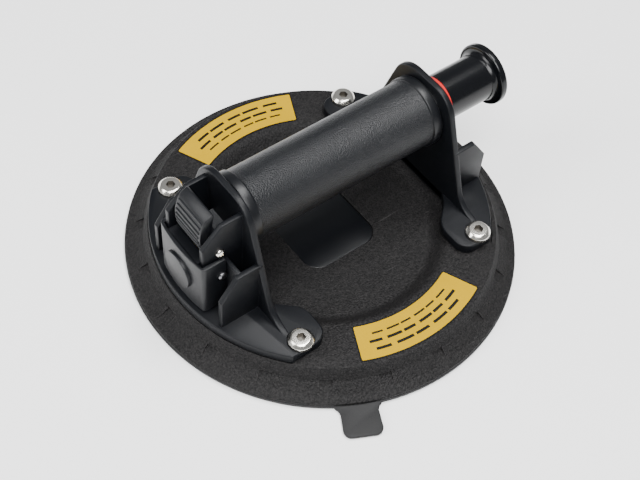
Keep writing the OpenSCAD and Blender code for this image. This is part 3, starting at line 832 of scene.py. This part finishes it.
def release_bracket():
    """The bracket at the lever's end: the shell with two ears and two cross ribs."""
    gap = block("block_gap", (PLATE_OUT, -BLOCK_GAP[1], RING_TOP - 1), BLOCK_GAP)
    shell = bracket_shell("release_bracket_moulding", RELEASE_FOOT_R, RELEASE_GUSSET_X, (gap,))
    bracket = replace_mirrored(shell)
    far_ear = ear()
    near_ear = mirrored(far_ear, "near_ear", "Y")
    rib = block("rib", (-WEB_X - WEB_T, EAR_IN + 1, FOOT_TOP - 1), (-WEB_X, GUSSET_IN + 1, GUSSET_TOP))
    soften(rib, 0.4)
    near_rib = mirrored(rib, "near_rib", "Y")
    joined("release_bracket_moulding", bracket, far_ear, near_ear, rib, near_rib)
    return finish_piece(bracket, BRACKET_PLASTIC, "body", "bracket_plastic", "release_bracket")


# ---------- Screws ----------
def screws():
    """Four nickel-plated socket screws, modelled once and copied."""
    low = FOOT_TOP - 0.38
    head = [(low, 0), (low, SCREW_HEAD_R), (FOOT_TOP + 1.5, SCREW_HEAD_R),
            (SCREW_TOP - 0.3, SCREW_HEAD_R - 1.3), (SCREW_TOP, SCREW_HEAD_R - 1.9), (SCREW_TOP, 0)]
    first = turned("screw_1", head, (SCREW_OFFSET, SCREW_OFFSET, 0), (0, 0, 1), steps=64)
    soften(first, 0.22, segments=3, angle=20)
    spot = (SCREW_OFFSET, SCREW_OFFSET)
    carve(first, rod("socket", (*spot, SCREW_TOP - 2.6), (*spot, SCREW_TOP + 1), SOCKET_ACROSS / 2, 6))
    shank = rod("shank", (*spot, 8), (*spot, low + 0.1), SCREW_SHANK_R)
    weld("screw_1", first, shank)
    copies = [first, mirrored(first, "screw_2", "X"), mirrored(first, "screw_3", "Y")]
    copies.append(mirrored(copies[1], "screw_4", "Y"))
    for screw in copies:
        finish_piece(screw, NICKEL, "body", "bright_steel", "mounting_screws")
        # The socket's inner faces take the darker steel, which is painted shade inside the recess
        screw.data.materials.append(SOCKET_PAINTED_SHADE)
        for face in screw.data.polygons:
            across = max(abs(abs(face.center[i]) / MM - SCREW_OFFSET) for i in (0, 1))
            deep = FOOT_TOP < face.center.z / MM < SCREW_TOP - 0.05
            face.material_index = int(across < SOCKET_ACROSS / 2 and deep)


# ---------- Grip and plunger ----------
def grip():
    """The grip tube, grained between its two smooth collars."""
    collar = GRIP_END - COLLAR_W
    profile = [(-GRIP_END, BARREL_R), (-GRIP_END, COLLAR_R), (-collar, COLLAR_R), (-collar, GRIP_R),
               (collar, GRIP_R), (collar, COLLAR_R), (GRIP_END, COLLAR_R), (GRIP_END, BARREL_R),
               (-GRIP_END, BARREL_R)]
    tube = turned("grip_sleeve", profile, (0, 0, GRIP_Z), (1, 0, 0), steps=128)
    soften(tube, 0.55)
    finish_piece(tube, GRIP_PLASTIC, "body", "grip_plastic", "grip_tube")
    tube.data.materials.append(COLLAR_PLASTIC)
    for face in tube.data.polygons:
        face.material_index = int(abs(face.center.x) / MM > collar - 0.3)
    return tube


def plunger():
    """The plunger's tube, its flanged knob with a filleted neck, and the red ring."""
    knob_in = KNOB_FACE - KNOB_T
    neck_x = knob_in - KNOB_NECK
    groove_r = PLUNGER_R - BAND_T
    tube = turned("plunger_shaft", [
        (PLUNGER_START, PLUNGER_BORE), (PLUNGER_START, PLUNGER_R), (BAND_X, PLUNGER_R),
        (BAND_X, groove_r), (BAND_X + BAND_W, groove_r), (BAND_X + BAND_W, PLUNGER_R),
        (neck_x, PLUNGER_R), (neck_x, PLUNGER_BORE), (PLUNGER_START, PLUNGER_BORE),
    ], (0, 0, GRIP_Z), (1, 0, 0), steps=128)
    finish_piece(tube, PLUNGER_PLASTIC, "plunger", "plunger_plastic", "plunger_tube")
    fillet = arc(neck_x, PLUNGER_R + KNOB_NECK, KNOB_NECK, -90, 0, 8)
    rim = [(knob_in, KNOB_R), (KNOB_FACE, KNOB_R)]
    knob = turned("plunger_button", [(neck_x, 0)] + fillet + rim + [
        (KNOB_FACE, KNOB_R - KNOB_RIM_W), (KNOB_FACE - KNOB_HOLLOW, KNOB_R - KNOB_RIM_W - 1),
        (KNOB_FACE - KNOB_HOLLOW, 0),
    ], (0, 0, GRIP_Z), (1, 0, 0), steps=128)
    soften(knob, 1.1, segments=5, angle=50)
    finish_piece(knob, PLUNGER_PLASTIC, "plunger", "plunger_plastic", "plunger_knob")
    ring = turned("red_ring", [
        (BAND_X, groove_r), (BAND_X, PLUNGER_R), (BAND_X + BAND_W, PLUNGER_R),
        (BAND_X + BAND_W, groove_r), (BAND_X, groove_r),
    ], (0, 0, GRIP_Z), (1, 0, 0), steps=128)
    soften(ring, 0.08, segments=2)
    finish_piece(ring, RED_PLASTIC, "plunger", "indicator_red", "indicator_band")


# ---------- Vent lever ----------
def paddle():
    """The thumb paddle: a smooth land, ribs on a convex face, a hub and two arms."""
    land = [(-71.6, 81.5), (-72.8, 82.2)]
    face = arc(*FACE_CENTRE, FACE_R, 150, 206, 12)
    back = [(-76.4, 58.2), (-76.0, 57.4), (-68.0, 57.4), (-68.2, 63.9), (-73.4, 66), (-72.6, 74)]
    body = slab("paddle", land + face + back, -PADDLE_HALF, PADDLE_HALF, "Y")
    soften(body, 0.4)
    ribs = []
    rib_end = PADDLE_HALF - 1.2
    for i in range(RIBS):
        angle = math.radians(RIB_FIRST + RIB_PITCH * i)
        x = FACE_CENTRE[0] + FACE_R * math.cos(angle)
        z = FACE_CENTRE[1] + FACE_R * math.sin(angle)
        ribs.append(rod("rib", (x, -rib_end, z), (x, rib_end, z), RIB_R, 16))
    hub = rod("hub", (PIVOT.x, -PADDLE_HALF, PIVOT.z), (PIVOT.x, PADDLE_HALF, PIVOT.z), HUB_R)
    arm_shape = [(-75.9, 60), (-75.9, 46.5), (-74.8, 43.9), (-71.2, 43.9), (-70.8, 46.5), (-69.9, 60)]
    arm = slab("arm", arm_shape, ARM_IN, ARM_OUT, "Y")
    far_arm = mirrored(arm, "far_arm", "Y")
    weld("paddle", body, hub, arm, far_arm, *ribs)
    return finish_piece(body, LEVER_PLASTIC, "vent_lever", "lever_plastic", "thumb_paddle")


def shroud():
    """The box in front of the ears: a curved front with a raised button, open behind and below."""
    corner_y = SHROUD_HALF - SHROUD_CORNER
    corner_x = -math.sqrt((SHROUD_R - SHROUD_CORNER) ** 2 - corner_y ** 2)
    turn = math.degrees(math.atan2(corner_y, corner_x))
    outline = [(SHROUD_REAR, SHROUD_HALF)] + arc(corner_x, corner_y, SHROUD_CORNER, 90, turn, 8)
    outline += arc(0, 0, SHROUD_R, turn, 360 - turn, 24)
    outline += arc(corner_x, -corner_y, SHROUD_CORNER, 360 - turn, 270, 8) + [(SHROUD_REAR, -SHROUD_HALF)]
    shell = slab("shroud", outline, SHROUD_BOTTOM, SHROUD_TOP, "Z")
    inner = SHROUD_HALF - SHROUD_WALL
    under = SHROUD_TOP - SHELF_T
    above, below, behind = SHROUD_TOP + 5, SHROUD_BOTTOM - 1, SHROUD_REAR + 5
    hollow = [(SHROUD_INSIDE, below), (SHROUD_INSIDE, under), (SHELF_REAR, under),
              (SHELF_REAR, above), (behind, above), (behind, below)]
    carve(shell, slab("hollow", hollow, -inner, inner, "Y"))
    carve(shell, block("shelf", (-SHROUD_R + 2.1, -EAR_IN - 0.6, SHROUD_TOP - SHELF_SUNK),
                       (-60, EAR_IN + 0.6, SHROUD_TOP + 2)))
    soften(shell, 0.4, segments=3, angle=40)
    for side in (-1, 1):
        a, b = sorted((side * (EAR_IN - 0.3), side * (inner + 0.3)))
        carve(shell, block("ear_slot", (-EAR_FRONT_X - EAR_SLOT_GAP, a, SHROUD_TOP - EAR_SLOT_DEPTH),
                           (-60, b, above)))
    face = SHROUD_R + BUTTON_H
    profile = [(SHROUD_R - 1, 0), (SHROUD_R - 1, BUTTON_R), (face, BUTTON_R), (face, 0)]
    button = turned("button", profile, (0, 0, BUTTON_Z), (-1, 0, 0), steps=96)
    soften(button, 0.35)
    joined("shroud", shell, button)
    return finish_piece(shell, LEVER_PLASTIC, "vent_lever", "lever_plastic", "lever_shroud")


def pins():
    """The silver pivot screw with its cross recess, and the darker link pin."""
    ear_out = EAR_IN + EAR_T
    head = [(ear_out - 0.1, 0), (ear_out - 0.1, 2.35), (ear_out + 0.5, 2.35), (ear_out + 1.2, 1.7),
            (ear_out + 1.55, 0.8), (ear_out + 1.6, 0)]
    pivot = turned("pivot_screw_silver", head, PIVOT, (0, -1, 0), steps=48)
    soften(pivot, 0.15, segments=2, angle=25)
    for tilt in (20, 110):
        fresh()
        bpy.ops.mesh.primitive_cube_add(
            size=1, location=(PIVOT.x * MM, -(ear_out + 1.6) * MM, PIVOT.z * MM),
            scale=(2.6 * MM, 1.2 * MM, 0.5 * MM), rotation=(0, math.radians(tilt), 0))
        carve(pivot, named("slot"))
    shank = rod("shank", (PIVOT.x, -ear_out, PIVOT.z), (PIVOT.x, ear_out, PIVOT.z), PIVOT_R)
    weld("pivot_screw_silver", pivot, shank)
    finish_piece(pivot, NICKEL, "body", "bright_steel", "pivot_screw")
    side = SHROUD_HALF
    profile = [(-side, 0), (-side, 1.5), (side, 1.5), (side, 2.2), (side + 0.7, 2.2), (side + 1.5, 1.4),
               (side + 1.5, 0)]
    link = turned("link_pin_dark", profile, LINK, (0, -1, 0), steps=48)
    soften(link, 0.12, segments=2, angle=25)
    finish_piece(link, DARK_STEEL, "vent_lever", "dark_steel", "link_pin")


# ---------- Inner parts keep their CAD shapes ----------
INNER = {
    "inlet_filter": FILTER_FELT, "threaded_inserts": BRASS, "pump_barrel": ALUMINIUM,
    "barrel_end_cap": INNER_PLASTIC, "cap_seal": SEAL_RUBBER, "check_valve": VALVE_RUBBER,
    "guide_bush": BUSH_PLASTIC, "piston": BUSH_PLASTIC, "piston_seal": SEAL_RUBBER,
    "plunger_spring": SPRING_STEEL, "valve_block": INNER_PLASTIC, "port_seal": SEAL_RUBBER,
    "vent_poppet": BRASS, "vent_seal": SEAL_RUBBER, "lever_spring": SPRING_STEEL,
}


def inner_parts():
    """Gives each hidden CAD node its finish."""
    for node, material in INNER.items():
        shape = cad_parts[node]
        shape.data.materials.clear()
        shape.data.materials.append(material)
        for face in shape.data.polygons:
            face.material_index = 0


# ---------- Setting ----------
def floor():
    """A plain pale floor, well past the view."""
    fresh()
    bpy.ops.mesh.primitive_plane_add(size=6, location=(0, 0, -0.0002))
    ground = named("floor")
    material, tree, shader, where = blank("pale floor")
    noise = add(tree, "ShaderNodeTexNoise", None, Vector=where, Scale=3.0, Detail=2.0)
    tree.links.new(mixed(tree, noise.outputs["Fac"], (0.90, 0.90, 0.90, 1), (0.93, 0.93, 0.93, 1)),
                   shader.inputs["Base Color"])
    shader.inputs["Roughness"].default_value = 0.7
    ground.data.materials.append(material)


def bearing(azimuth, elevation):
    """A direction away from the object; azimuth 0 is on the -Y side, and angles are in degrees."""
    a, e = math.radians(azimuth), math.radians(elevation)
    return Vector((math.sin(a) * math.cos(e), -math.cos(a) * math.cos(e), math.sin(e)))


def softbox(name, azimuth, elevation, distance, size, power):
    """An area light aimed at the object's middle."""
    fresh()
    way = bearing(azimuth, elevation)
    middle = Vector((0, 0, 0.03))
    bpy.ops.object.light_add(type="AREA", location=middle + way * distance)
    lamp = bpy.context.object
    lamp.name = name
    lamp.rotation_euler = way.to_track_quat("Z", "Y").to_euler()
    lamp.data.shape = "RECTANGLE"
    lamp.data.size, lamp.data.size_y = size
    lamp.data.energy = power


def lights():
    """Soft studio light: a big key from the front, a top light, a side light and a pale surround."""
    softbox("key", -30, 60, 1.5, (1.1, 0.9), 42)
    softbox("top", 95, 74, 1.5, (0.6, 0.6), 26)
    softbox("side", -110, 38, 1.4, (0.6, 0.9), 16)
    world = bpy.data.worlds.new("pale room")
    world.use_nodes = True
    background = world.node_tree.nodes["Background"]
    background.inputs["Color"].default_value = (0.95, 0.97, 1.0, 1)
    background.inputs["Strength"].default_value = 0.3
    bpy.context.scene.world = world


CAMERA_AZIMUTH = -41.462
CAMERA_ELEVATION = 53.285
CAMERA_ROLL = 5.413
CAMERA_DISTANCE = 621.534
CAMERA_TARGET = (-1.487, -1.185, 0)
CAMERA_LENS = 68.05


def camera():
    """The viewing angle, as an azimuth, an elevation and a small roll about the line of sight."""
    back = bearing(CAMERA_AZIMUTH, CAMERA_ELEVATION)
    fresh()
    bpy.ops.object.camera_add(location=(Vector(CAMERA_TARGET) + back * CAMERA_DISTANCE) * MM)
    eye = bpy.context.object
    level = (-back).to_track_quat("-Z", "Y").to_matrix()
    right, up = level.col[0], level.col[1]
    roll = math.radians(CAMERA_ROLL)
    rolled_right = right * math.cos(roll) + up * math.sin(roll)
    rolled_up = up * math.cos(roll) - right * math.sin(roll)
    turn = level.copy()
    turn.col[0], turn.col[1] = rolled_right, rolled_up
    eye.rotation_euler = turn.to_euler()
    eye.data.lens = CAMERA_LENS
    eye.data.sensor_width = 36
    eye.data.clip_start = 0.01
    bpy.context.scene.camera = eye


base_moulding()
badge()
pad()
label("load_label_film", "load_label", 1)
label("pressure_label_film", "pressure_label", -1)
plunger_bracket()
release_bracket()
screws()
grip()
plunger()
paddle()
shroud()
pins()
inner_parts()
floor()
lights()
camera()

fresh()
